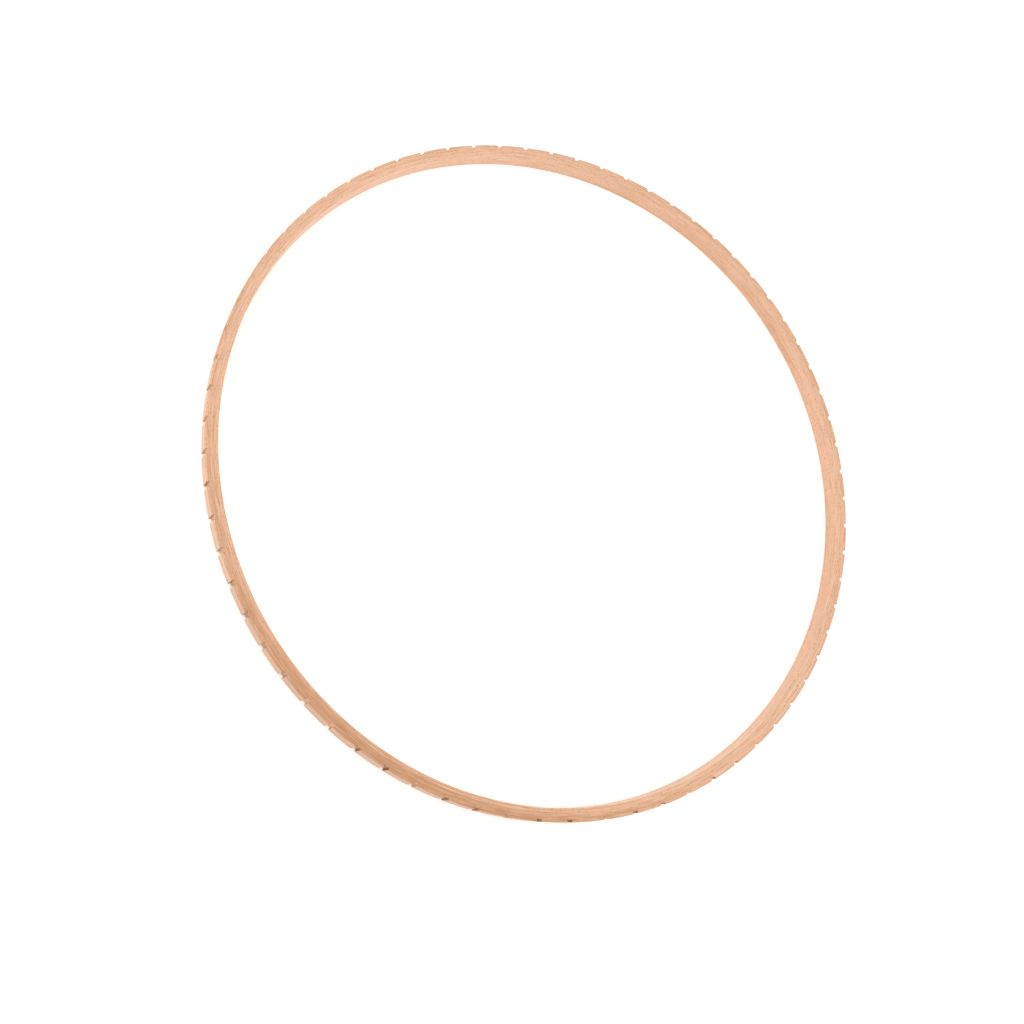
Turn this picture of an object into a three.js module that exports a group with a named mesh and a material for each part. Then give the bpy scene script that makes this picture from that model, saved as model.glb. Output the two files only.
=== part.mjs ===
// Circular weaving loom: a slim beech hoop with warp slots sawn across its outside.
// The hoop is a bent lamination. Three beech strips are bent round one inside the other and glued
// face to face, and the two tapered ends of each strip overlap in a glued scarf joint.
// Sizes are millimetres. The hoop lies flat: its axis is Z, its back face is on z = 0,
// and the middle of the one wide land, which covers the outer strip's scarf, is on +X.
import * as THREE from "three";

// Driving dimensions
const OUTER_RADIUS = 150; // outside of the hoop, over the lands between slots
const HEIGHT = 8; // width of every strip, from the back face to the front face
const PLY = 1.75; // thickness of each strip
const GLUE = 0.1; // thickness of every glue line
const SLOT_COUNT = 71;
const SLOT_WIDTH = 2; // one saw cut, wide enough for warp yarn
const SLOT_FLOOR = 0.7; // wood left under a slot, so that none reaches a glue line
const SCARF_LENGTH = 11; // length of the tapers where a strip's ends overlap
const SCARF_MARGIN = 1.3; // plain wood between the outer scarf and the slots beside it
const LONGEST_FLAT = 6.5; // the curves are made of flats no longer than this

const FULL_TURN = 2 * Math.PI;
const STRIPS = ["outer", "middle", "inner"];

const beech = new THREE.MeshStandardMaterial({ color: 0xe6b892, roughness: 0.62, metalness: 0 });
const curedGlue = new THREE.MeshStandardMaterial({ color: 0xb98a5c, roughness: 0.45, metalness: 0 });

// Scarf joint: a taper of the strip's full thickness. Its glue line is slanted, so along the strip
// the glue takes up more room than its thickness.
const scarfGlueRun = (GLUE * Math.hypot(SCARF_LENGTH, PLY)) / PLY;

// A strip's two faces, and the four angles where its scarf comes out of them. The strip starts on
// the far side of the slanted glue line and ends, a turn later, on the near side of it.
function layStrip(index) {
  const outside = OUTER_RADIUS - index * (PLY + GLUE);
  const inside = outside - PLY;
  const middle = (outside + inside) / 2;
  const centre = (index * FULL_TURN) / STRIPS.length;
  const halfTaper = SCARF_LENGTH / 2 / middle;
  const halfGlue = scarfGlueRun / 2 / middle;
  return {
    outside,
    inside,
    outsideEnd: centre + halfTaper - halfGlue,
    outsideStart: centre + halfTaper + halfGlue,
    insideEnd: centre - halfTaper - halfGlue,
    insideStart: centre - halfTaper + halfGlue,
  };
}

const strips = STRIPS.map((name, index) => layStrip(index));

// Every curved face breaks into flats at the same angles, so neighbouring pieces meet flat to flat:
// at the edges of the scarfs, and evenly between them.
function flats(from, to) {
  const count = Math.ceil(((to - from) * OUTER_RADIUS) / LONGEST_FLAT);
  return Array.from({ length: count }, (_, i) => from + ((to - from) * i) / count);
}

const scarfEdges = strips
  .flatMap((strip) => [strip.outsideEnd, strip.outsideStart, strip.insideEnd, strip.insideStart])
  .sort((a, b) => a - b);
const breaks = scarfEdges.flatMap((edge, i) => flats(edge, scarfEdges[i + 1] ?? scarfEdges[0] + FULL_TURN));

const points = (radius, angles) =>
  angles.map((angle) => new THREE.Vector2(radius * Math.cos(angle), radius * Math.sin(angle)));

// Points from one scarf edge round to another, with a point at each break.
function arc(radius, from, to) {
  const first = breaks.indexOf(from);
  const steps = (breaks.indexOf(to) - first + breaks.length) % breaks.length;
  const angles = Array.from({ length: steps + 1 }, (_, i) => breaks[(first + i) % breaks.length]);
  return points(radius, angles);
}

// Warp slots: one even pitch all the way round, and one wider land over the outer strip's scarf.
const halfMouth = Math.asin(SLOT_WIDTH / 2 / OUTER_RADIUS);
const outerScarf = strips[0].outsideStart - strips[0].insideEnd;
const closingPitch = outerScarf + (2 * SCARF_MARGIN) / OUTER_RADIUS + 2 * halfMouth;
const slotPitch = (FULL_TURN - closingPitch) / (SLOT_COUNT - 1);
const slotAngles = Array.from({ length: SLOT_COUNT }, (_, i) => closingPitch / 2 + i * slotPitch);

// The flat floor of a slot, between two walls that stand square to it.
function slotFloor(angle) {
  const depthRadius = OUTER_RADIUS - PLY + SLOT_FLOOR;
  return [-SLOT_WIDTH / 2, SLOT_WIDTH / 2].map((side) =>
    new THREE.Vector2(depthRadius, side).rotateAround(new THREE.Vector2(), angle),
  );
}

// The outside of the outer strip: land, slot, land, slot, and so on to its far end.
function slottedOutside(strip) {
  const land = (from, to) => points(strip.outside, [...flats(from, to), to]);
  const outline = [];
  let landStart = strip.outsideStart;
  for (const angle of slotAngles) {
    outline.push(...land(landStart, angle - halfMouth), ...slotFloor(angle));
    landStart = angle + halfMouth;
  }
  outline.push(...land(landStart, strip.outsideEnd + FULL_TURN));
  return outline;
}

// Each piece is one flat outline carried through the height of the hoop.
function piece(name, outline, material, hole) {
  const shape = new THREE.Shape(outline);
  if (hole) shape.holes.push(new THREE.Path(hole));
  const geometry = new THREE.ExtrudeGeometry(shape, { depth: HEIGHT, steps: 1, bevelEnabled: false });
  const mesh = new THREE.Mesh(geometry, material);
  mesh.name = name;
  return mesh;
}

function ply(strip, name) {
  const plain = () => arc(strip.outside, strip.outsideStart, strip.outsideEnd);
  const outside = name === "outer" ? slottedOutside(strip) : plain();
  const inside = arc(strip.inside, strip.insideStart, strip.insideEnd).reverse();
  return piece(`${name}_ply`, [...outside, ...inside], beech);
}

// The slanted film between the two ends of one strip.
function scarfGlue(strip, name) {
  const outside = arc(strip.outside, strip.outsideEnd, strip.outsideStart);
  const inside = arc(strip.inside, strip.insideEnd, strip.insideStart).reverse();
  return piece(`${name}_scarf_glue`, [...outside, ...inside], curedGlue);
}

// The round film between a strip and the next one inside it.
function glueLine(strip, within, name) {
  const outside = points(strip.inside, breaks);
  const inside = points(within.outside, breaks);
  return piece(`${name}_glue_line`, outside, curedGlue, inside);
}

const loom = new THREE.Group();
strips.forEach((strip, index) => {
  loom.add(ply(strip, STRIPS[index]), scarfGlue(strip, STRIPS[index]));
});
loom.add(glueLine(strips[0], strips[1], "outer"), glueLine(strips[1], strips[2], "inner"));

export default loom;
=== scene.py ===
# %% [markdown]
# # A round weaving loom in beech
#
# This loom is a bare wooden hoop. Three thin strips of steamed beech are bent one inside the other
# and glued face to face, and the two ends of each strip meet in a slanted scarf joint. Warp yarn goes
# round the hoop and sits in straight slots, sawn across the outside at an even pitch.
#
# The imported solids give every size, but their curves are made of flats and their edges are sharp.
# The lesson reads the sizes from them, works each piece out again as a smooth surface with eased
# edges, and then gives the wood its grain. The solids stay in the file, hidden.

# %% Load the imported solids
import math
from types import SimpleNamespace

import bpy
import numpy as np
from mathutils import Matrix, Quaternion, Vector


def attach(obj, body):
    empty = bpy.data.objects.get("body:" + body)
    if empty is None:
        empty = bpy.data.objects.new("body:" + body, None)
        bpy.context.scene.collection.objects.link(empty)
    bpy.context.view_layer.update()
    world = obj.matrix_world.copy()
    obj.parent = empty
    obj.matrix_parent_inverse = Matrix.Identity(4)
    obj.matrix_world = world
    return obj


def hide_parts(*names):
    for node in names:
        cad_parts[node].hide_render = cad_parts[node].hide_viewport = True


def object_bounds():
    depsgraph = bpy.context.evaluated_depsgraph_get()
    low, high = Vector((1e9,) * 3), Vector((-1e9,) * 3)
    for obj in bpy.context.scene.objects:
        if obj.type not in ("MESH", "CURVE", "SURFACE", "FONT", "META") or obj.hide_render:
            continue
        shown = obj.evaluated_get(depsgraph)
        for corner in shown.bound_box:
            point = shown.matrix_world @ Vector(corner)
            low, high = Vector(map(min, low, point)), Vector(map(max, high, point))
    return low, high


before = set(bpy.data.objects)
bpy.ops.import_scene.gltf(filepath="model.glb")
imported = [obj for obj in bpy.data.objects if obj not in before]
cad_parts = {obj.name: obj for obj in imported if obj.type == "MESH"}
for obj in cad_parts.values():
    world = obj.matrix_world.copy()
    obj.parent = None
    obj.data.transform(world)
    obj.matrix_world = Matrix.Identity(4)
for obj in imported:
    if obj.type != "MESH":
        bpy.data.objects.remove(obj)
cad_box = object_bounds()
print("packed solids:", ", ".join(sorted(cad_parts)))

# %% [markdown]
# ## Sizes of the strips
#
# A maker would measure the hoop with calipers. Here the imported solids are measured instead. The thin
# film in a strip's scarf joint tells the most: its corners lie on both faces of the strip, at the
# angles where the strip ends and starts. Reading them keeps the looks tied to the construction, so a
# change of size there needs no edit here. The solids are many-sided, so the round hoop is made as
# large as fits inside their box.

# %% Read the strips
MM = 0.001  # metres in a millimetre; shapes are worked out in millimetres
FULL_TURN = 2 * math.pi
STRIP_NAMES = ("outer", "middle", "inner")


def solid_corners(node):
    """Corners of a solid as the angle round the hoop's axis and the distance from it."""
    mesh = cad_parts[node].data
    flat = np.empty(3 * len(mesh.vertices), np.float32)
    mesh.vertices.foreach_get("co", flat)
    x, y, _ = flat.reshape(-1, 3).astype(float).T / MM
    return np.arctan2(y, x), np.hypot(x, y)


def measure_strip(name):
    """Radii of a strip's two faces, and the angles at which it ends and starts on each of them."""
    angle, radius = solid_corners(f"{name}_scarf_glue")
    on_outside = radius > (radius.max() + radius.min()) / 2
    return SimpleNamespace(
        outside=radius.max(),
        inside=radius.min(),
        out_end=angle[on_outside].min(),
        out_start=angle[on_outside].max(),
        in_end=angle[~on_outside].min(),
        in_start=angle[~on_outside].max(),
    )


strips = {name: measure_strip(name) for name in STRIP_NAMES}
outer = strips["outer"]
outer.outside = min(outer.outside, np.abs([corner[:2] for corner in cad_box]).min() / MM)
HEIGHT = cad_box[1].z / MM
for name, strip in strips.items():
    print(f"{name} strip: radius {strip.inside:.2f} to {strip.outside:.2f} mm, {HEIGHT:.1f} mm high")

# %% [markdown]
# ## Sizes of the slots
#
# Each slot is one straight saw cut with a flat floor and parallel walls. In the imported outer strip
# only the corners of the slot floors lie between the two faces, so they are easy to pick out: sorted
# by angle, every two of them are one floor. The first slot is the one next to the wide land, which
# lies at angle zero.

# %% Read the slots
CLEAR = 0.1  # mm; a corner this far from both faces belongs to a slot floor
SAME_CORNER = 1e-4  # radians; closer corners are one and the same


def measure_slots():
    """Angles of the slots' middles, half their width, and the distance of their flat floors."""
    angle, radius = solid_corners("outer_ply")
    on_floor = (radius > outer.inside + CLEAR) & (radius < outer.outside - CLEAR)
    ordered = np.sort(angle[on_floor] % FULL_TURN)
    corners = ordered[np.diff(ordered, prepend=-FULL_TURN) > SAME_CORNER].reshape(-1, 2)
    half_angle = np.diff(corners).mean() / 2
    reach = radius[on_floor].mean()
    return SimpleNamespace(
        angles=corners.mean(axis=1),
        half_width=reach * math.sin(half_angle),
        floor=reach * math.cos(half_angle),
    )


slots = measure_slots()
print(f"{len(slots.angles)} slots, {2 * slots.half_width:.2f} mm wide, "
      f"{outer.outside - slots.floor:.2f} mm deep")

# %% [markdown]
# ## The section of a strip
#
# The hoop's four long edges are run over with sandpaper, which leaves a small round. A bevel modifier
# could make it, but would round the glued edges too, where the strips must stay flush. So each wall of
# a strip is a list of rows from the front face down to the back face: how far the row is set in from
# the wall, and how high it is. A glued wall has two rows. An eased wall has a quarter circle at each
# face, with a narrow flat beside it that keeps the shading of the large faces flat.

# %% Rows of a wall
EASE = 0.22  # mm, radius of a sanded edge
EASE_STEPS = 5
NARROW = 0.06  # mm, the flat beside a round


def wall_rows(ease):
    """Insets and heights of a wall's rows. At the turn t of the round, from 0 on the face to a quarter
    circle on the wall, the inset is ease (1 - sin t) and the drop below the face is ease (1 - cos t)."""
    if ease == 0:
        return np.zeros(2), np.array([HEIGHT, 0])
    turn = np.linspace(0, math.pi / 2, EASE_STEPS + 1)
    inset = np.concatenate([[ease + NARROW], ease * (1 - np.sin(turn)), [0]])
    drop = np.concatenate([[0], ease * (1 - np.cos(turn)), [ease + NARROW]])
    return np.concatenate([inset, inset[::-1]]), np.concatenate([HEIGHT - drop, drop[::-1]])


print("rows of an eased wall:", len(wall_rows(EASE)[0]))

# %% [markdown]
# ## The plain strips in plan
#
# Seen from above, a bent strip is two lines: its outside and its inside. The strip is described by
# columns that join a point of one line to a point of the other. Most columns point at the hoop's
# middle. At the two ends the strip is planed to a long slant for the scarf joint, so there the inside
# point lags behind the outside point, and a few columns turn from the slant to square.

# %% Plan of a plain strip
TURN_COLUMNS = 480
END_COLUMNS = 9
BESIDE_SCARF = math.radians(1.5)  # how far past the scarf the columns are square again


def on_circle(radius, angle):
    """Points at a distance from the hoop's axis: radius times the cosine and sine of the angle."""
    return np.stack([radius * np.cos(angle), radius * np.sin(angle)], axis=-1)


def plan_of(strip, out_angle, in_angle):
    """The two lines, and for each column the move that sets its outside or inside point in by 1 mm.
    It runs along the column, so that a sanded edge stays in the plane of a slanted end. Nothing is
    sawn yet, and no slot has its brown or painted shade."""
    out_line = on_circle(strip.outside, out_angle)
    in_line = on_circle(strip.inside, in_angle)
    push = (in_line - out_line) / (strip.outside - strip.inside)
    return SimpleNamespace(
        out_line=out_line,
        in_line=in_line,
        out_push=push,
        in_push=-push,
        angle=out_angle,
        sawn=np.zeros(out_angle.shape),
        slot_brown_and_shade=np.zeros(out_angle.shape),
    )


def plain_plan(strip):
    """Columns round a strip: both angles grow steadily over the turn, and at the ends each from or to
    its own scarf edge."""
    square_from = strip.out_start + BESIDE_SCARF
    square_to = strip.in_end + FULL_TURN - BESIDE_SCARF
    knots = np.cumsum([0, END_COLUMNS, TURN_COLUMNS, END_COLUMNS])
    column = np.arange(knots[-1] + 1)
    out_knots = [strip.out_start, square_from, square_to, strip.out_end + FULL_TURN]
    in_knots = [strip.in_start, square_from, square_to, strip.in_end + FULL_TURN]
    return plan_of(strip, np.interp(column, knots, out_knots), np.interp(column, knots, in_knots))


plans = {name: plain_plan(strips[name]) for name in ("middle", "inner")}
print("columns of a plain strip:", len(plans["inner"].angle))

# %% [markdown]
# ## The profile of a slot
#
# The outer strip could be a plain strip with a box cut out for every slot by a boolean modifier, but a
# boolean leaves ragged faces that shade badly. Here one slot is drawn once, as a line from land to land
# with a tiny round at the mouth and in the floor's corners. All the slots then share this line.

# %% Profile of one slot
MOUTH_ROUND = 0.12  # mm
FLOOR_ROUND = 0.22  # mm
ROUND_STEPS = 3


def slot_profile():
    """A slot in plan from land to land: the distance across from its middle, the height as a share of
    the depth, and the outward normal. At the turn t of a quarter circle of radius q, the mouth is at
    half width + q (1 - sin t) across and q (1 - cos t) down, and the floor corner at
    half width - q (1 - cos t) across and q (1 - sin t) up. The second half mirrors the first."""
    depth = outer.outside - slots.floor
    turn = np.linspace(0, math.pi / 2, ROUND_STEPS + 1)
    land = slots.half_width + MOUTH_ROUND + NARROW
    mouth = slots.half_width + MOUTH_ROUND * (1 - np.sin(turn))
    corner = slots.half_width - FLOOR_ROUND * (1 - np.cos(turn))
    across = -np.concatenate([[land], mouth, corner])
    mouth_up = depth - MOUTH_ROUND * (1 - np.cos(turn))
    corner_up = FLOOR_ROUND * (1 - np.sin(turn))
    up = np.concatenate([[depth], mouth_up, corner_up])
    facing_across = np.concatenate([[0], np.sin(turn), np.cos(turn)])
    facing_out = np.concatenate([[1], np.cos(turn), np.sin(turn)])
    return SimpleNamespace(
        across=np.concatenate([across, [0], -across[::-1]]),
        share=np.concatenate([up, [0], up[::-1]]) / depth,
        facing_across=np.concatenate([facing_across, [0], -facing_across[::-1]]),
        facing_out=np.concatenate([facing_out, [1], facing_out[::-1]]),
    )


profile = slot_profile()
print("columns of a slot:", len(profile.across))

# %% [markdown]
# ## Brown cuts
#
# The slots are browner than the wood round them, and more so in some cuts than in others. The brown
# is partly the colour of the cut wood and partly painted shade: the cuts beside the wide land are
# darkest, with a few pale ones between them. They could be painted one by one. Here a rule does most
# of it: the darkening fades round the hoop, and each cut gets a share of its own by chance, from a
# fixed seed so that every run is the same. Only the cuts that stayed pale are named.

# %% Browning and painted shade of the slots
SLOT_SHADE_PLACE = math.radians(-20)  # where round the hoop the slots are darkest, partly with painted shade
SLOT_SHADE_NARROW = 2  # a power: the larger, the shorter the hot stretch
LEAST_SLOT_DARKENING = 0.6  # browning of the palest ordinary cut, as a share of the brownest
PALE_CUTS = [0, 3, 6, 7, 8, -10, -9, -6, -3]  # slots counted on from the wide land, or back from it
PALE_CUT_SHARE = 0.35  # darkening of a pale cut, as a share of an ordinary one
SEED = 689


def nearness(angle, place, narrow):
    """1 at a place round the hoop and 0 opposite it: (1 + cosine of the angle between) / 2, to a power
    that makes the stretch shorter."""
    return ((1 + np.cos(angle - place)) / 2) ** narrow


def slot_darkening_by_cut():
    """Darkening of each slot from 0 to 1, partly brown and partly painted shade: a share between the
    least and 1, by chance, times the nearness to the darkest place, and for a pale cut times its own small
    share."""
    chance = np.random.default_rng(SEED).random(len(slots.angles))
    slot_darkening = (LEAST_SLOT_DARKENING + (1 - LEAST_SLOT_DARKENING) * chance) * nearness(slots.angles, SLOT_SHADE_PLACE, SLOT_SHADE_NARROW)
    slot_darkening[PALE_CUTS] *= PALE_CUT_SHARE
    return slot_darkening


slot_darkening = slot_darkening_by_cut()
print("browning of the slots:", round(slot_darkening.min(), 2), "to", round(slot_darkening.max(), 2))

# %% [markdown]
# ## The slotted strip in plan
#
# The outer strip runs land, slot, land, slot, and so on. numpy lays the slot's line down at all the
# slot angles at once, and lands fill the rest. Toward the front and back face the mouth of a slot
# follows the sanded edge of the lands and opens a hair, as one pass of sandpaper leaves it. Behind a
# slot the inside points spread wider than its mouth, so that no face there is a thin sliver.

# %% Lands and slots
LAND_COLUMNS = 6
FAN = 0.5  # mm; behind a slot the inside points spread this much wider than its mouth
SLOT_EASE = 0.2  # how much a slot's own edge opens, as a share of the land's inset
FLOOR_DARKENING_SHARE = 0.6  # brown and painted shade of a slot floor, as a share of its walls

half_mouth = profile.across[-1]
half_land = math.asin(half_mouth / outer.outside)
half_fan = (half_mouth + FAN) / outer.inside


def land_angles(start, end, half):
    """Angles of the columns, by land: even steps from one slot to the next, each half an opening away
    from the slot's middle, and at the strip's ends from or to the scarf."""
    first = np.append(start, slots.angles + half)[:, None]
    last = np.append(slots.angles - half, end + FULL_TURN)[:, None]
    return first + (last - first) * np.linspace(0, 1, LAND_COLUMNS + 2)


def slot_columns():
    """Columns by slot. A point lies across and out along the slot's own two directions: the share of
    the depth reaches from the flat floor to the round outside. An edge is set in as the land's is at
    the mouth, and opens along the normal further down. Walls get the most brown and painted shade, and
    floors less."""
    out = on_circle(1, slots.angles)[:, None]
    across = on_circle(1, slots.angles + math.pi / 2)[:, None]
    rim = np.sqrt(outer.outside**2 - profile.across**2)
    reach = slots.floor + profile.share * (rim - slots.floor)
    opening = profile.facing_across[:, None] * across
    deepening = ((1 - profile.share) * profile.facing_out)[:, None] * out
    push = -profile.share[:, None] * out - SLOT_EASE * (opening + deepening)
    angle = slots.angles[:, None] + np.arctan2(profile.across, reach)
    behind = slots.angles[:, None] + np.linspace(-half_fan, half_fan, len(profile.across))
    browned = FLOOR_DARKENING_SHARE + (1 - FLOOR_DARKENING_SHARE) * abs(profile.facing_across)
    return SimpleNamespace(
        out_line=reach[:, None] * out + profile.across[:, None] * across,
        in_line=on_circle(outer.inside, behind),
        out_push=push,
        in_push=-push,
        angle=angle,
        sawn=np.broadcast_to(profile.share < 1, angle.shape),
        slot_brown_and_shade=slot_darkening[:, None] * browned,
    )


lands = plan_of(outer, land_angles(outer.out_start, outer.out_end, half_land),
                land_angles(outer.in_start, outer.in_end, half_fan))
cuts = slot_columns()
print(len(lands.angle), "lands and", len(cuts.angle), "slots")

# %% Plan of the slotted strip


def in_order(of_lands, of_cuts):
    """Columns in the order met along the strip: land, slot, land and so on. A land's first and last
    column belong to the slots beside it, except at the strip's own two ends."""
    middle = np.concatenate([of_lands[:-1, 1:-1], of_cuts], axis=1)
    return np.concatenate([of_lands[:1, 0], middle.reshape(-1, *of_cuts.shape[2:]), of_lands[-1, 1:]])


plans["outer"] = SimpleNamespace(
    **{what: in_order(of_lands, getattr(cuts, what)) for what, of_lands in vars(lands).items()})
print("columns of the slotted strip:", len(plans["outer"].angle))

# %% [markdown]
# ## From plan to grid
#
# A strip is now a grid: columns along it, and rows that run down its outside wall and up its inside
# wall. Only the outside of the outer strip and the inside of the inner strip can be reached with
# sandpaper, so only those walls are eased. All three strips share their flat front and back faces.

# %% Grid of a strip
EASED = {"outer": (EASE, 0), "middle": (0, 0), "inner": (0, EASE)}  # outside and inside wall


def strip_grid(plan, out_ease, in_ease):
    """Points by column and row: each row is the plan's line moved in by the row's inset and lifted to
    the row's height, down the outside wall and then up the inside wall."""
    out_inset, out_height = wall_rows(out_ease)
    in_inset, in_height = (rows[::-1] for rows in wall_rows(in_ease))
    outside = plan.out_line[:, None] + out_inset[:, None] * plan.out_push[:, None]
    inside = plan.in_line[:, None] + in_inset[:, None] * plan.in_push[:, None]
    flat = np.concatenate([outside, inside], axis=1)
    height = np.broadcast_to(np.concatenate([out_height, in_height]), flat.shape[:2])
    return np.dstack([flat, height])


grids = {name: strip_grid(plans[name], *EASED[name]) for name in STRIP_NAMES}
for name, grid in grids.items():
    print(f"{name} strip: {grid.shape[0]} columns of {grid.shape[1]} points")

# %% [markdown]
# ## From grid to faces
#
# Four neighbouring points of the grid are the corners of one face. The grid closes on itself round the
# section, and one flat face closes each end of a strip. The same function serves the glue, because a
# film of glue is only a very thin strip. A closed skin has a volume, and the volume only comes out
# positive if the faces point outwards, so it is a good check of both.

# %% Faces and volume


def grid_faces(columns, rows, closed):
    """Quads between neighbouring columns and rows, turned outwards. A ring closes on itself along its
    length, and a strip gets a flat face at each end."""
    column = np.arange(columns if closed else columns - 1)[:, None] * rows
    after = (column + rows) % (columns * rows)
    row = np.arange(rows)
    below = (row + 1) % rows
    quads = np.stack([column + row, column + below, after + below, after + row], axis=-1)
    faces = quads.reshape(-1, 4).tolist()
    if not closed:
        faces += [row[::-1].tolist(), (row + (columns - 1) * rows).tolist()]
    return faces


def enclosed_volume(mesh):
    """Volume in cubic millimetres: a sixth of the sum of each triangle's triple product."""
    mesh.calc_loop_triangles()
    corners = np.empty(3 * len(mesh.loop_triangles), np.int32)
    mesh.loop_triangles.foreach_get("vertices", corners)
    places = np.empty(3 * len(mesh.vertices), np.float32)
    mesh.vertices.foreach_get("co", places)
    a, b, c = (places.astype(float).reshape(-1, 3) / MM)[corners.reshape(-1, 3)].transpose(1, 0, 2)
    return np.einsum("ij,ij->i", a, np.cross(b, c)).sum() / 6


for name, grid in grids.items():
    print(f"{name} strip: {len(grid_faces(*grid.shape[:2], closed=False))} faces")

# %% [markdown]
# ## A flat picture of each piece
#
# When the model leaves Blender, its patterns are painted on one flat square picture for each piece.
# Laid flat as it is, a ring would leave nearly all of the square empty. So each piece is unrolled
# instead: its skin is cut into a few straight lengths, laid one above the other like boards in a
# rack. A glued wall never shows, so there it is squeezed to a tenth of its height.

# %% Unroll a piece
LENGTHS = 5  # boards in the rack; the flat ends lie on a shelf of their own
GLUED_SHARE = 0.1
FREE = 0.02  # share of a board left free at each edge


def with_margin(share):
    """A share of a board or a shelf, from 0 to 1, moved in from its edges."""
    return FREE + (1 - 2 * FREE) * share


def unrolled(grid, closed):
    """Place on the picture of every face corner, in the order of grid_faces. Across, it is the distance
    along the piece, started again on each board. Up, it is the distance round the section. A step as
    high as the hoop is a glued wall."""
    ring = np.concatenate([grid, grid[:1]]) if closed else grid
    step = np.linalg.norm(np.diff(ring, axis=0), axis=2).max(axis=1)
    along = np.append(0, np.cumsum(step))
    width = np.linalg.norm(np.roll(grid, -1, axis=1) - grid, axis=2).mean(axis=0)
    width = np.where(np.isclose(width, HEIGHT), GLUED_SHARE, 1) * width
    around = 1 - np.append(0, np.cumsum(width)) / width.sum()

    length = along[-1] / LENGTHS
    board = np.floor(along[:-1] / length)
    reach = np.stack([along[:-1], along[:-1], along[1:], along[1:]], axis=-1) - (board * length)[:, None]
    across = with_margin(reach / (length + step.max()))
    up = np.stack([around[:-1], around[1:], around[1:], around[:-1]], axis=-1)
    up = (board[:, None, None] + with_margin(up)) / (LENGTHS + 1)
    corners = np.stack([np.broadcast_to(across[:, None], up.shape), up], axis=-1).reshape(-1, 2)
    if closed:
        return corners

    end = grid[[0, -1]]
    radius = np.hypot(end[..., 0], end[..., 1])
    across = (with_margin((radius - radius.min()) / np.ptp(radius)) + [[0], [1]]) / 2
    up = (LENGTHS + with_margin(end[..., 2] / HEIGHT)) / (LENGTHS + 1)
    start, stop = np.stack([across, up], axis=-1)
    return np.concatenate([corners, start[::-1], stop])


for name, grid in grids.items():
    corners = unrolled(grid, closed=False)
    print(f"{name} strip: {len(corners)} corners on its picture, up to {corners.max():.2f} of its side")

# %% [markdown] ## A piece of the loom  Every piece is made in the same way: its grid becomes a mesh
# with smooth shading, except at edges that turn sharply, and its unrolling is kept with it. A finish
# also needs to know things that differ from point to point, so a second function stores such values.

# %% Make a piece
SHARP = math.radians(40)  # edges that turn more than this stay crisp
PICTURE = "OFBake"  # the name of a piece's own unrolling


def make_piece(name, grid, node, closed=False):
    """A mesh piece from its grid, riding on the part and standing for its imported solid."""
    mesh = bpy.data.meshes.new(name)
    mesh.from_pydata((grid.reshape(-1, 3) * MM).tolist(), [], grid_faces(*grid.shape[:2], closed))
    mesh.shade_smooth()
    mesh.set_sharp_from_angle(angle=SHARP)
    picture = mesh.uv_layers.new(name=PICTURE)
    picture.uv.foreach_set("vector", unrolled(grid, closed).astype(np.float32).ravel())
    piece = bpy.data.objects.new(name, mesh)
    bpy.context.scene.collection.objects.link(piece)
    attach(piece, "root")
    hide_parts(node)
    volume = enclosed_volume(mesh)
    print(f"{name}: {len(mesh.loop_triangles)} triangles round {volume:.0f} mm3")
    return piece


def store(piece, name, kind, values):
    """Store a number or a place for every point of a piece, under a name that materials can read."""
    layer = piece.data.attributes.new(name, kind, "POINT")
    field = "vector" if kind == "FLOAT_VECTOR" else "value"
    layer.data.foreach_set(field, values.astype(np.float32).ravel())


# %% [markdown]
# ## The three beech strips
#
# Wood is not one colour. Each strip comes from its own place in the board, the outer one a little
# browner and the inner one a little paler. On this hoop one long stretch and one weaker one are also
# darker. That is painted shade: a shadow put into the wood's colour. Three values carry this to the
# finish. `grain_mm` says where each point lay in the board before the strip was bent: along the strip,
# through its thickness and up its width. A pattern drawn in it bends with the wood, as real grain does.
# `tone_and_shade` is the strip's own shade along its length together with the painted shade, and
# `slot_brown_and_shade` is the browning and painted shade of the slots. The faces of the slots also get
# a material of their own.

# %% Grain, tone and painted shade
BOARD_APART = (1500.0, 37.0, 53.0)  # mm; every strip comes from another place in the board
STRIP_TONE = {"outer": 0.03, "middle": 0.01, "inner": -0.03}  # browner above zero, paler below
# The two darker stretches are painted shade: a darker wood colour put where a shadow lies on the hoop.
SHADOW_PLACE = math.radians(-36)  # where the painted shadow is darkest
SHADOW_PEAK = {"outer": 0.34, "middle": 0.31, "inner": 0.2}
FAR_SHADE_PLACE, FAR_SHADE_PEAK = math.radians(122), 0.06  # a second, weaker stretch of painted shade
SHADOW_NARROW = 8  # a power, as for the darkest slots


def grain_of(grid, plan, strip, order):
    """Place in the straight board: along is the angle times the middle radius, through is the distance
    from the inside face and up is the height, each shifted by the strip's own place in the board."""
    angle = np.arctan2(grid[..., 1], grid[..., 0])
    turn = plan.angle[:, None] + (angle - plan.angle[:, None] + math.pi) % FULL_TURN - math.pi
    along = turn * (strip.outside + strip.inside) / 2
    through = np.hypot(grid[..., 0], grid[..., 1]) - strip.inside
    return np.dstack([along, through, grid[..., 2]]) + order * np.array(BOARD_APART)


def tone_and_shade_of(plan, name):
    """Shade of a strip along its length: its own tone, and two darker stretches of painted shade, each
    its peak times the nearness to its place."""
    near = SHADOW_PEAK[name] * nearness(plan.angle, SHADOW_PLACE, SHADOW_NARROW)
    far = FAR_SHADE_PEAK * nearness(plan.angle, FAR_SHADE_PLACE, SHADOW_NARROW)
    return STRIP_TONE[name] + near + far


for name in STRIP_NAMES:
    tone_and_shade = tone_and_shade_of(plans[name], name)
    print(f"{name} strip: tone {tone_and_shade.min():.2f} to {tone_and_shade.max():.2f}")

# %% Make the strips


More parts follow.
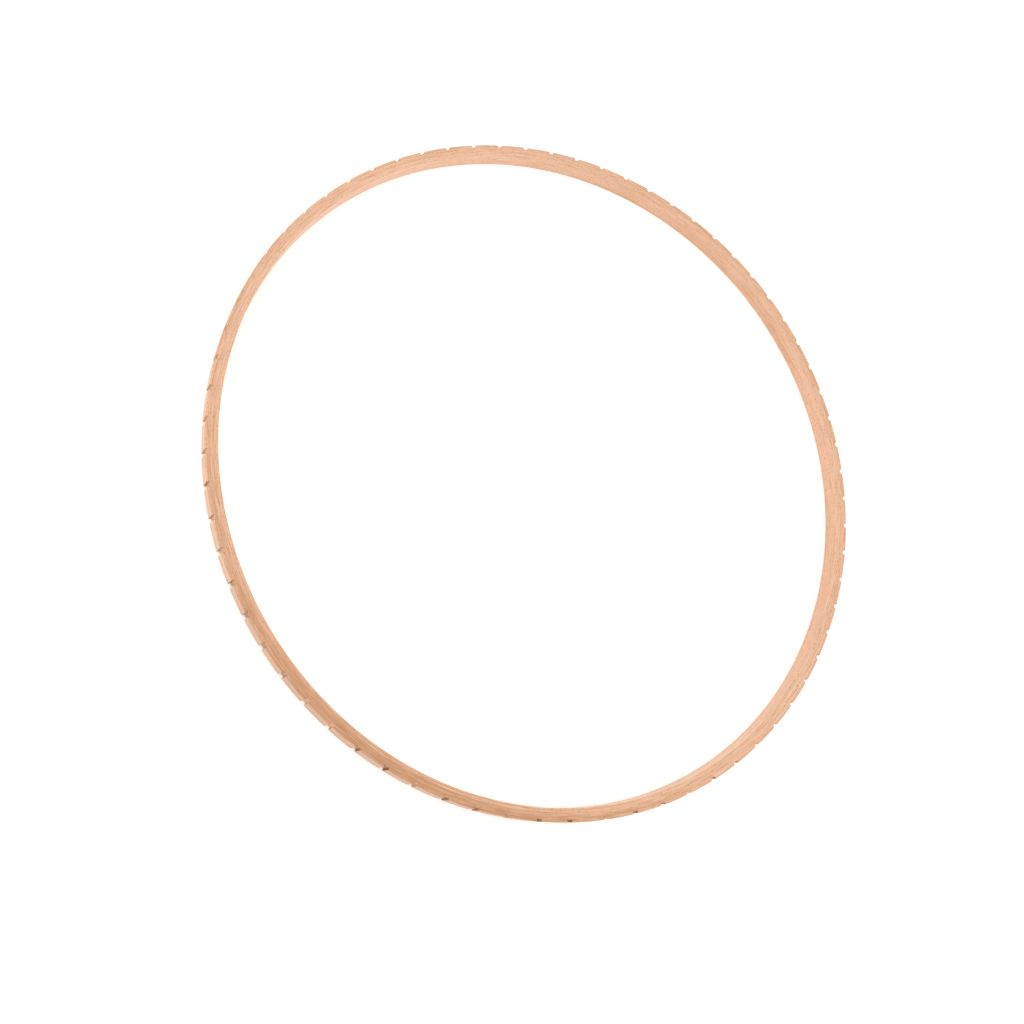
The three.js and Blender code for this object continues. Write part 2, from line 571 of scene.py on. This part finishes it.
def sawn_faces(plan, rows, outside_rows):
    """1 for a face of a slot and 0 for any other, in the order of grid_faces: the columns on both its
    sides are sawn, and it lies on the outside wall. The two end faces come last."""
    on_outside = np.arange(rows) < outside_rows - 1
    return np.append(np.outer(plan.sawn[1:] * plan.sawn[:-1], on_outside), [0, 0])


wood = []
for order, name in enumerate(STRIP_NAMES):
    plan, grid = plans[name], grids[name]
    rows = grid.shape[1]
    piece = make_piece(f"{name}_strip", grid, f"{name}_ply")
    store(piece, "grain_mm", "FLOAT_VECTOR", grain_of(grid, plan, strips[name], order))
    # the strip's own tone, plus the painted shade of the two darker stretches
    store(piece, "tone_and_shade", "FLOAT", np.repeat(tone_and_shade_of(plan, name), rows))
    # the brown of each slot, partly painted shade, read by the end grain material
    store(piece, "slot_brown_and_shade", "FLOAT", np.repeat(plan.slot_brown_and_shade, rows))
    outside_rows = len(wall_rows(EASED[name][0])[0])
    sawn = sawn_faces(plan, rows, outside_rows)
    piece.data.polygons.foreach_set("material_index", sawn.astype(np.int32))
    wood.append(piece)

# %% [markdown]
# ## The glue
#
# Between two strips lies a film of wood glue a tenth of a millimetre thick, all the way round. A
# slanted film closes each scarf joint. They only show as hair lines on the two faces, but as pieces of
# their own they close the hoop without gaps. The scarf film reuses the end columns of its strip, so
# its edges are sanded together with the wood.

# %% Make the glue films
FILM_COLUMNS = 480
FILM_BETWEEN = {"outer": ("outer", "middle"), "inner": ("middle", "inner")}  # the strips beside it


def ring_plan(outside, inside):
    """Columns of a closed ring between two radii, at even angles."""
    angle = np.arange(FILM_COLUMNS) * FULL_TURN / FILM_COLUMNS
    return plan_of(SimpleNamespace(outside=outside, inside=inside), angle, angle)


def scarf_plan(strip):
    """Two columns: the slanted end of the strip, and its slanted start on the other side of the film."""
    out_angle = np.array([strip.out_end, strip.out_start])
    in_angle = np.array([strip.in_end, strip.in_start])
    return plan_of(strip, out_angle, in_angle)


films = []
for name, (around, within) in FILM_BETWEEN.items():
    plan = ring_plan(strips[around].inside, strips[within].outside)
    grid = strip_grid(plan, 0, 0)
    film = make_piece(f"{name}_glue_film", grid, f"{name}_glue_line", closed=True)
    store(film, "tone_and_shade", "FLOAT", np.repeat(tone_and_shade_of(plan, name), grid.shape[1]))
    films.append(film)
for name in STRIP_NAMES:
    grid = strip_grid(scarf_plan(strips[name]), *EASED[name])
    films.append(make_piece(f"{name}_scarf_film", grid, f"{name}_scarf_glue"))

# %% [markdown]
# ## Colours and nodes
#
# Colours are given as sRGB hex values, but shaders work with linear light, so one function turns the
# one into the other. A second small function adds a node, with its settings and links, so that a
# material reads as a list of steps.

# %% Helpers for materials
MIX_SHARE, MIX_FROM, MIX_TO, MIXED = 0, 6, 7, 2  # a Mix node's sockets for colours, in and out


def linear(hex_colour):
    """Linear RGBA of an sRGB hex colour: a straight toe up to 0.04045, and a power of 2.4 above it."""
    srgb = np.array([int(hex_colour[i:i + 2], 16) for i in (1, 3, 5)]) / 255
    light = np.where(srgb <= 0.04045, srgb / 12.92, ((srgb + 0.055) / 1.055) ** 2.4)
    return (*light.tolist(), 1.0)


def add(tree, kind, links=None, **settings):
    """A new node. links gives an input socket its value, or the output socket that feeds it."""
    node = tree.nodes.new(kind)
    for setting, value in settings.items():
        setattr(node, setting, value)
    for socket, source in (links or {}).items():
        if isinstance(source, bpy.types.NodeSocket):
            tree.links.new(source, node.inputs[socket])
        else:
            node.inputs[socket].default_value = source
    return node


def new_material(name):
    """A material with no nodes in it yet, and the tree that takes them."""
    material = bpy.data.materials.new(name)
    material.use_nodes = True
    material.node_tree.nodes.clear()
    return material, material.node_tree


print("middle grey #808080 in linear light:", round(linear("#808080")[0], 3))

# %% [markdown]
# ## Growth rings
#
# Each year a beech adds a layer of wood that starts pale and ends a little darker. These strips are
# sawn so that the rings lie nearly parallel to the walls, which shows as broad, faint bands. An image
# of real wood could be wrapped round the hoop, but it would stretch and have a seam. Here the rings are
# worked out from `grain_mm`: the distance across the rings counts the years, and the fraction left over
# says how far a year has come.

# %% Growth rings
RING_GAP = 1.5  # mm between growth rings
RING_LEAN = math.radians(8)  # how the rings lean in the section of a strip
RING_RUNOUT = 0.004  # mm the rings climb for each mm along the strip
RING_WANDER = 1.4  # mm, how far the rings wander to either side
WANDER_SIZE = (130, 7, 7)  # mm along, through and up
LATE_FROM, LATE_PEAK = 0.35, 0.9  # shares of a year: where it starts to darken, and is darkest
EARLY_WOOD, LATE_WOOD = (0, 0, 0, 1), (1, 1, 1, 1)  # black stands for 0 and white for 1


def per_mm(size):
    """Scale that turns millimetres into repeats of a pattern of this size."""
    return tuple(1 / side for side in size)


def growth_rings(tree, grain):
    """1 in the late wood of a year and 0 in the early wood. The years are the distance across the rings
    plus their wander, over the gap, and a ramp rises through each year and drops at its end."""
    across = (RING_RUNOUT / RING_GAP, math.cos(RING_LEAN) / RING_GAP, math.sin(RING_LEAN) / RING_GAP)
    straight = add(tree, "ShaderNodeVectorMath", {0: grain, 1: across}, operation="DOT_PRODUCT")
    place = add(tree, "ShaderNodeVectorMath", {0: grain, 1: per_mm(WANDER_SIZE)}, operation="MULTIPLY")
    wander = add(tree, "ShaderNodeTexNoise", {
        "Vector": place.outputs["Vector"], "Scale": 1.0, "Detail": 1.0})
    years = add(tree, "ShaderNodeMath", {
        0: wander.outputs["Fac"], 1: 2 * RING_WANDER / RING_GAP, 2: straight.outputs["Value"]},
        operation="MULTIPLY_ADD")
    share = add(tree, "ShaderNodeMath", {0: years.outputs[0]}, operation="FRACT")
    ramp = add(tree, "ShaderNodeValToRGB", {"Fac": share.outputs[0]})
    stops = ramp.color_ramp.elements
    stops[0].position, stops[0].color = LATE_FROM, EARLY_WOOD
    stops[1].position, stops[1].color = LATE_PEAK, LATE_WOOD
    stops.new(1.0).color = EARLY_WOOD
    return ramp.outputs["Color"]


thickness = outer.outside - outer.inside
print(f"a strip is {thickness:.2f} mm thick and holds about {thickness / RING_GAP:.1f} years")

# %% [markdown]
# ## Rays
#
# The sign of beech is its rays, short brown dashes that lie along the grain. They could be noise, but
# noise makes clouds, not dashes. A Voronoi pattern divides the wood into cells instead, each as long
# and wide as a ray, and about half of the cells get a dash in their middle. Real rays are about 0.2 mm
# wide. They are drawn coarser, so that they show at arm's length.

# %% Rays
RAY_SIZE = (1.9, 0.42, 0.42)  # mm along, through and up, drawn coarser than real rays
RAY_CORE, RAY_END = 0.1, 0.4  # from a dash's middle, in cells: where it starts to fade, and ends
RAY_STRENGTH = 0.9  # share of the ray's own brown in the middle of a dash
RAYLESS = 0.5  # share of the cells without a dash


def ray_dashes(tree, grain):
    """How much of each spot is ray: full near the middle of a chosen cell, and none at its edge."""
    place = add(tree, "ShaderNodeVectorMath", {0: grain, 1: per_mm(RAY_SIZE)}, operation="MULTIPLY")
    cells = add(tree, "ShaderNodeTexVoronoi", {"Vector": place.outputs["Vector"], "Scale": 1.0})
    dash = add(tree, "ShaderNodeMapRange", {
        "Value": cells.outputs["Distance"], "From Min": RAY_CORE, "From Max": RAY_END,
        "To Min": RAY_STRENGTH, "To Max": 0.0})
    draw = add(tree, "ShaderNodeSeparateColor", {"Color": cells.outputs["Color"]})
    chosen = add(tree, "ShaderNodeMath", {0: draw.outputs["Red"], 1: RAYLESS}, operation="GREATER_THAN")
    rays = add(tree, "ShaderNodeMath", {0: dash.outputs["Result"], 1: chosen.outputs[0]},
               operation="MULTIPLY")
    return rays.outputs[0]


print("repeats of the ray pattern in a millimetre:", [round(x, 2) for x in per_mm(RAY_SIZE)])

# %% [markdown]
# ## Steamed beech, sanded and left bare
#
# Steaming turns pale beech pinkish. Besides its rings and rays it has slow changes of shade, bundles of
# fibres as long streaks, and single fibres as fine lines. Each is a noise stretched along the grain, to
# its real size in millimetres. Fibres are really finer than a hair, and are drawn coarser. All of them
# add up to one number, and a ramp of four colours turns that into wood. The surface is sanded but has
# no varnish, so the shine is soft, and the finest raised fibres catch the light at a low angle, which
# is what the sheen is for.

# %% Beech
PATTERNS = {  # size in mm along, through and up; levels of finer detail; weight in the shade
    "shade": ((110, 8, 14), 1.0, 0.2),
    "streak": ((45, 0.4, 8.0), 2.0, 0.35),
    "fibre": ((8.0, 0.28, 0.18), 1.0, 0.95),
}
RING_WEIGHT = 0.1
PALEST, DARKEST = 0.41, 1.46  # sums of the weighted patterns at the two ends of the ramp
PALE, MIDDLE, BROWN, DARK = "#f2c8aa", "#e8b795", "#c9946c", "#a8744c"
RAY_BROWN = "#b98059"
SHEEN_CREAM = "#ffecd2"
FIBRE_LOW, FIBRE_HIGH = 0.3, 0.7  # the range in which nearly all of the fibre noise lies
SMOOTH, ROUGH = 0.28, 0.38  # roughness on and between the fibres
FIBRE_LIFT = 0.04  # mm, relief of the fibres
LIFT_STRENGTH = 0.35
WOOD_IOR = 1.5


def steamed_beech():
    """Bare sanded wood: fine long streaks with short brown dashes, a soft shine and a faint sheen."""
    material, tree = new_material("steamed_beech_sanded")
    grain = add(tree, "ShaderNodeAttribute", attribute_name="grain_mm").outputs["Vector"]
    # the sum starts from the strip's own tone and the painted shade of the two darker stretches
    depth = add(tree, "ShaderNodeAttribute", attribute_name="tone_and_shade").outputs["Fac"]

    noise = {}
    for pattern, (size, detail, weight) in PATTERNS.items():
        place = add(tree, "ShaderNodeVectorMath", {0: grain, 1: per_mm(size)}, operation="MULTIPLY")
        noise[pattern] = add(tree, "ShaderNodeTexNoise", {
            "Vector": place.outputs["Vector"], "Scale": 1.0, "Detail": detail}).outputs["Fac"]
        depth = add(tree, "ShaderNodeMath", {0: noise[pattern], 1: weight, 2: depth},
                    operation="MULTIPLY_ADD").outputs[0]
    depth = add(tree, "ShaderNodeMath", {0: growth_rings(tree, grain), 1: RING_WEIGHT, 2: depth},
                operation="MULTIPLY_ADD").outputs[0]
    shade = add(tree, "ShaderNodeMapRange", {"Value": depth, "From Min": PALEST, "From Max": DARKEST})
    ramp = add(tree, "ShaderNodeValToRGB", {"Fac": shade.outputs["Result"]})
    stops = ramp.color_ramp.elements
    stops[0].color = linear(PALE)
    stops[1].color = linear(DARK)
    stops.new(1 / 3).color = linear(MIDDLE)
    stops.new(2 / 3).color = linear(BROWN)
    colour = add(tree, "ShaderNodeMix", {
        MIX_SHARE: ray_dashes(tree, grain), MIX_FROM: ramp.outputs["Color"], MIX_TO: linear(RAY_BROWN)},
        data_type="RGBA")

    smooth = add(tree, "ShaderNodeMapRange", {
        "Value": noise["fibre"], "From Min": FIBRE_LOW, "From Max": FIBRE_HIGH,
        "To Min": SMOOTH, "To Max": ROUGH})
    relief = add(tree, "ShaderNodeBump", {
        "Strength": LIFT_STRENGTH, "Distance": FIBRE_LIFT * MM, "Height": noise["fibre"]})
    shader = add(tree, "ShaderNodeBsdfPrincipled", {
        "Base Color": colour.outputs[MIXED], "Roughness": smooth.outputs["Result"], "IOR": WOOD_IOR,
        "Sheen Weight": 0.3, "Sheen Roughness": 0.3, "Sheen Tint": linear(SHEEN_CREAM),
        "Normal": relief.outputs["Normal"]})
    add(tree, "ShaderNodeOutputMaterial", {"Surface": shader.outputs["BSDF"]})
    return material


beech = steamed_beech()
for piece in wood:
    piece.data.materials.append(beech)
print("beech:", len(beech.node_tree.nodes), "nodes on", len(wood), "strips")

# %% [markdown]
# ## Sawn end grain
#
# A slot is cut across the fibres, so its walls are end grain: dull, open pores, and no streaks. It could
# be the sanded wood made darker, but then lines would run up the walls that real end grain doesn't
# have. So it is a second material with fine pores only, which turns from pale to brown as the
# `slot_brown_and_shade` of the slot says. Its pale end is lighter than the sanded face. That is painted
# light, which offsets the shade in the narrow slots. Its brown end carries the slots' browning together
# with their painted shade. The faces of the slots already carry the number of this second material.

# %% End grain
PORE = 0.35  # mm, a small group of pores; a single one is too fine to show
PORE_FROM, PORE_TO = 0.4, 0.7  # the range of the noise in which the pores open
PORE_BROWN = 0.15  # how much an open pore adds to the browning
# the pale end is lightened as painted light against the shade in the slots; the brown end holds brown and
# painted shade
END_PALE_LIGHTENED, END_BROWN_AND_SHADE = "#f6d2b4", "#98612f"


def sawn_beech():
    """End grain on the slot walls: dull and open, its pale end lightened as painted light, and browner
    where the slot's brown and painted shade is strongest.
    """
    material, tree = new_material("steamed_beech_sawn")
    slot_brown_and_shade = add(tree, "ShaderNodeAttribute", attribute_name="slot_brown_and_shade").outputs["Fac"]
    place = add(tree, "ShaderNodeTexCoord").outputs["Object"]
    noise = add(tree, "ShaderNodeTexNoise", {"Vector": place, "Scale": 1 / (PORE * MM), "Detail": 1.0})
    pores = add(tree, "ShaderNodeMapRange", {
        "Value": noise.outputs["Fac"], "From Min": PORE_FROM, "From Max": PORE_TO, "To Max": PORE_BROWN})
    brown = add(tree, "ShaderNodeMath", {0: slot_brown_and_shade, 1: pores.outputs["Result"]}, operation="ADD",
                use_clamp=True)
    colour = add(tree, "ShaderNodeMix", {
        MIX_SHARE: brown.outputs[0], MIX_FROM: linear(END_PALE_LIGHTENED), MIX_TO: linear(END_BROWN_AND_SHADE)},
        data_type="RGBA")
    shader = add(tree, "ShaderNodeBsdfPrincipled", {
        "Base Color": colour.outputs[MIXED], "Roughness": 0.8, "IOR": WOOD_IOR, "Specular IOR Level": 0.2})
    add(tree, "ShaderNodeOutputMaterial", {"Surface": shader.outputs["BSDF"]})
    return material


end_grain = sawn_beech()
for piece in wood:
    piece.data.materials.append(end_grain)
print("end grain:", len(end_grain.node_tree.nodes), "nodes on the slots")

# %% [markdown]
# ## Cured wood glue
#
# Wood glue dries to a hard, slightly clear film. Sanded flush it is a hair line, paler than the wood in
# some stretches and browner in others, because the film is nowhere quite even. Slow noise along the
# hoop does this. The tone of the wood beside it is added, with the painted shade of the two darker
# stretches, since the film lets some of it through.

# %% Glue
GLUE_PATCH = 40.0  # mm
PATCH_PALE, PATCH_BROWN = 0.4, 0.65  # patch plus tone and painted shade where the line is palest and brownest
GLUE_PALE, GLUE_BROWN = "#f8dfc6", "#b98459"
GLUE_SMOOTH, GLUE_ROUGH = 0.4, 0.55
GLUE_IOR = 1.48


def cured_glue():
    """Hard film, cream in some stretches and amber in others, about as dull as the wood."""
    material, tree = new_material("wood_glue_cured")
    place = add(tree, "ShaderNodeTexCoord").outputs["Object"]
    tone_and_shade = add(tree, "ShaderNodeAttribute", attribute_name="tone_and_shade").outputs["Fac"]
    patches = add(tree, "ShaderNodeTexNoise", {
        "Vector": place, "Scale": 1 / (GLUE_PATCH * MM), "Detail": 2.0}).outputs["Fac"]
    darker = add(tree, "ShaderNodeMath", {0: patches, 1: tone_and_shade}, operation="ADD")
    brown = add(tree, "ShaderNodeMapRange", {
        "Value": darker.outputs[0], "From Min": PATCH_PALE, "From Max": PATCH_BROWN})
    colour = add(tree, "ShaderNodeMix", {
        MIX_SHARE: brown.outputs["Result"], MIX_FROM: linear(GLUE_PALE), MIX_TO: linear(GLUE_BROWN)},
        data_type="RGBA")
    rough = add(tree, "ShaderNodeMapRange", {
        "Value": patches, "To Min": GLUE_SMOOTH, "To Max": GLUE_ROUGH})
    shader = add(tree, "ShaderNodeBsdfPrincipled", {
        "Base Color": colour.outputs[MIXED], "Roughness": rough.outputs["Result"], "IOR": GLUE_IOR})
    add(tree, "ShaderNodeOutputMaterial", {"Surface": shader.outputs["BSDF"]})
    return material


glue = cured_glue()
for piece in films:
    piece.data.materials.append(glue)
print("glue on", len(films), "films")

# %% [markdown]
# ## The table
#
# The hoop lies on a white painted table. In this light the paint comes out a light grey, and a stronger
# light would bleach the wood. So the paint also glows a little, just enough to be pure white. The glow
# is seen only by the camera and in reflections: it adds no light to the wood, and the hoop's soft
# shadow stays on the table.

# %% Table
FLOOR_SIDE = 12.0  # metres
FLOOR_DROP = 0.05 * MM  # the table lies a hair under the hoop's back face
FLOOR_WHITE = "#f3f3f3"
FLOOR_GLOW = 0.34  # strength of the glow

scene = bpy.context.scene


def seen_directly(tree):
    """1 for rays from the camera, and for mirrored and transmitted ones, and 0 for rays that light."""
    path = add(tree, "ShaderNodeLightPath").outputs
    seen = path["Is Camera Ray"]
    for ray in ("Is Glossy Ray", "Is Transmission Ray"):
        seen = add(tree, "ShaderNodeMath", {0: seen, 1: path[ray]}, operation="MAXIMUM").outputs[0]
    return seen


def white_paint():
    """Matt white paint, with the glow that only the eye sees."""
    material, tree = new_material("white_table_paint")
    matt = add(tree, "ShaderNodeBsdfDiffuse", {"Color": linear(FLOOR_WHITE)})
    lift = add(tree, "ShaderNodeMath", {0: seen_directly(tree), 1: FLOOR_GLOW}, operation="MULTIPLY")
    glow = add(tree, "ShaderNodeEmission", {"Strength": lift.outputs[0]})
    both = add(tree, "ShaderNodeAddShader", {0: matt.outputs[0], 1: glow.outputs[0]})
    add(tree, "ShaderNodeOutputMaterial", {"Surface": both.outputs[0]})
    return material


half = FLOOR_SIDE / 2
floor_mesh = bpy.data.meshes.new("floor")
sides = ((-half, -half), (half, -half), (half, half), (-half, half))
floor_mesh.from_pydata([(x, y, -FLOOR_DROP) for x, y in sides], [], [(0, 1, 2, 3)])
floor_mesh.materials.append(white_paint())
floor = bpy.data.objects.new("floor", floor_mesh)
scene.collection.objects.link(floor)
print("table", FLOOR_SIDE, "m wide, glow", FLOOR_GLOW)

# %% [markdown]
# ## The room
#
# A white room gives soft light from all around. A picture of a real room could light the scene, but two
# numbers do as well here: the light from low down, which reaches the walls of the hoop, and the light
# from overhead, which reaches its face. With the lamps that follow, a surface that faces up comes out
# about as bright as its colour is written. Seen directly, the room is plain white.

# %% Room
HORIZON, ZENITH = 1.4, 0.63  # light from low down and from overhead
PLAIN_WHITE = (1, 1, 1, 1)

scene.world = bpy.data.worlds.new("studio")
scene.world.use_nodes = True
room = scene.world.node_tree
room.nodes.clear()
sight = add(room, "ShaderNodeSeparateXYZ", {0: add(room, "ShaderNodeTexCoord").outputs["Generated"]})
light = add(room, "ShaderNodeMapRange", {
    "Value": sight.outputs["Z"], "To Min": HORIZON, "To Max": ZENITH})
level = add(room, "ShaderNodeMapRange", {
    "Value": seen_directly(room), "To Min": light.outputs["Result"], "To Max": 1.0})
sky = add(room, "ShaderNodeBackground", {"Color": PLAIN_WHITE, "Strength": level.outputs["Result"]})
add(room, "ShaderNodeOutputWorld", {"Surface": sky.outputs[0]})
scene.view_settings.view_transform = "Standard"
print("room light", HORIZON, "low down and", ZENITH, "overhead")

# %% [markdown]
# ## The lamps
#
# In even light alone the walls would look as flat as the face. Two large, weak lamps on opposite sides
# of the hoop shade them: one lights the near part of the outside wall, and the other the inside wall
# and the far side. They are area lamps, so their shadows stay soft.

# %% Lamps
LAMP_AWAY = 1.5  # metres
LAMP_SIDE = 1.2  # metres
LAMP_POWER = 4.0  # watts
LAMPS = {"left_lamp": (-0.3, -0.7, 0.65), "right_lamp": (0.4, 0.75, 0.45)}  # the way to each of them

for name, way in LAMPS.items():
    toward = Vector(way).normalized()
    lamp_data = bpy.data.lights.new(name, "AREA")
    lamp_data.size = LAMP_SIDE
    lamp_data.energy = LAMP_POWER
    lamp = bpy.data.objects.new(name, lamp_data)
    lamp.location = toward * LAMP_AWAY
    lamp.rotation_mode = "QUATERNION"
    lamp.rotation_quaternion = toward.to_track_quat("Z", "Y")
    scene.collection.objects.link(lamp)
    print(name, "at", [round(x, 2) for x in lamp.location], "with", LAMP_POWER, "W")

# %% [markdown]
# ## Camera
#
# The camera looks down on the hoop from one side, turned so that the wide land is at the bottom of the
# picture. Its place follows from how the round outline and the even slots are squeezed in the view.
# The picture is a crop, so the lens axis isn't in its middle, and the shift says by how much.

# %% Camera
CAMERA_AT = Vector((0.12494, -0.21254, 0.43572))  # metres
CAMERA_AIM = Vector((-0.00559, -0.05618, 0.004))
CAMERA_ROLL = math.radians(49.41)
LENS, SENSOR = 39.95, 36.0  # mm
SHIFT = (0.0820, -0.0683)  # shares of the picture's width

camera_data = bpy.data.cameras.new("camera")
camera_data.lens = LENS
camera_data.sensor_width = SENSOR
camera_data.shift_x, camera_data.shift_y = SHIFT
camera = bpy.data.objects.new("camera", camera_data)
camera.location = CAMERA_AT
camera.rotation_mode = "QUATERNION"
upright = (CAMERA_AIM - CAMERA_AT).to_track_quat("-Z", "Y")
camera.rotation_quaternion = upright @ Quaternion((0, 0, 1), CAMERA_ROLL)
scene.collection.objects.link(camera)
scene.camera = camera
print("camera", round((CAMERA_AT - CAMERA_AIM).length, 3), "m from its aim")

# %% [markdown]
# ## Sizes and finish
#
# The smooth hoop must not reach outside the imported solids, or it would not fit where they fit.
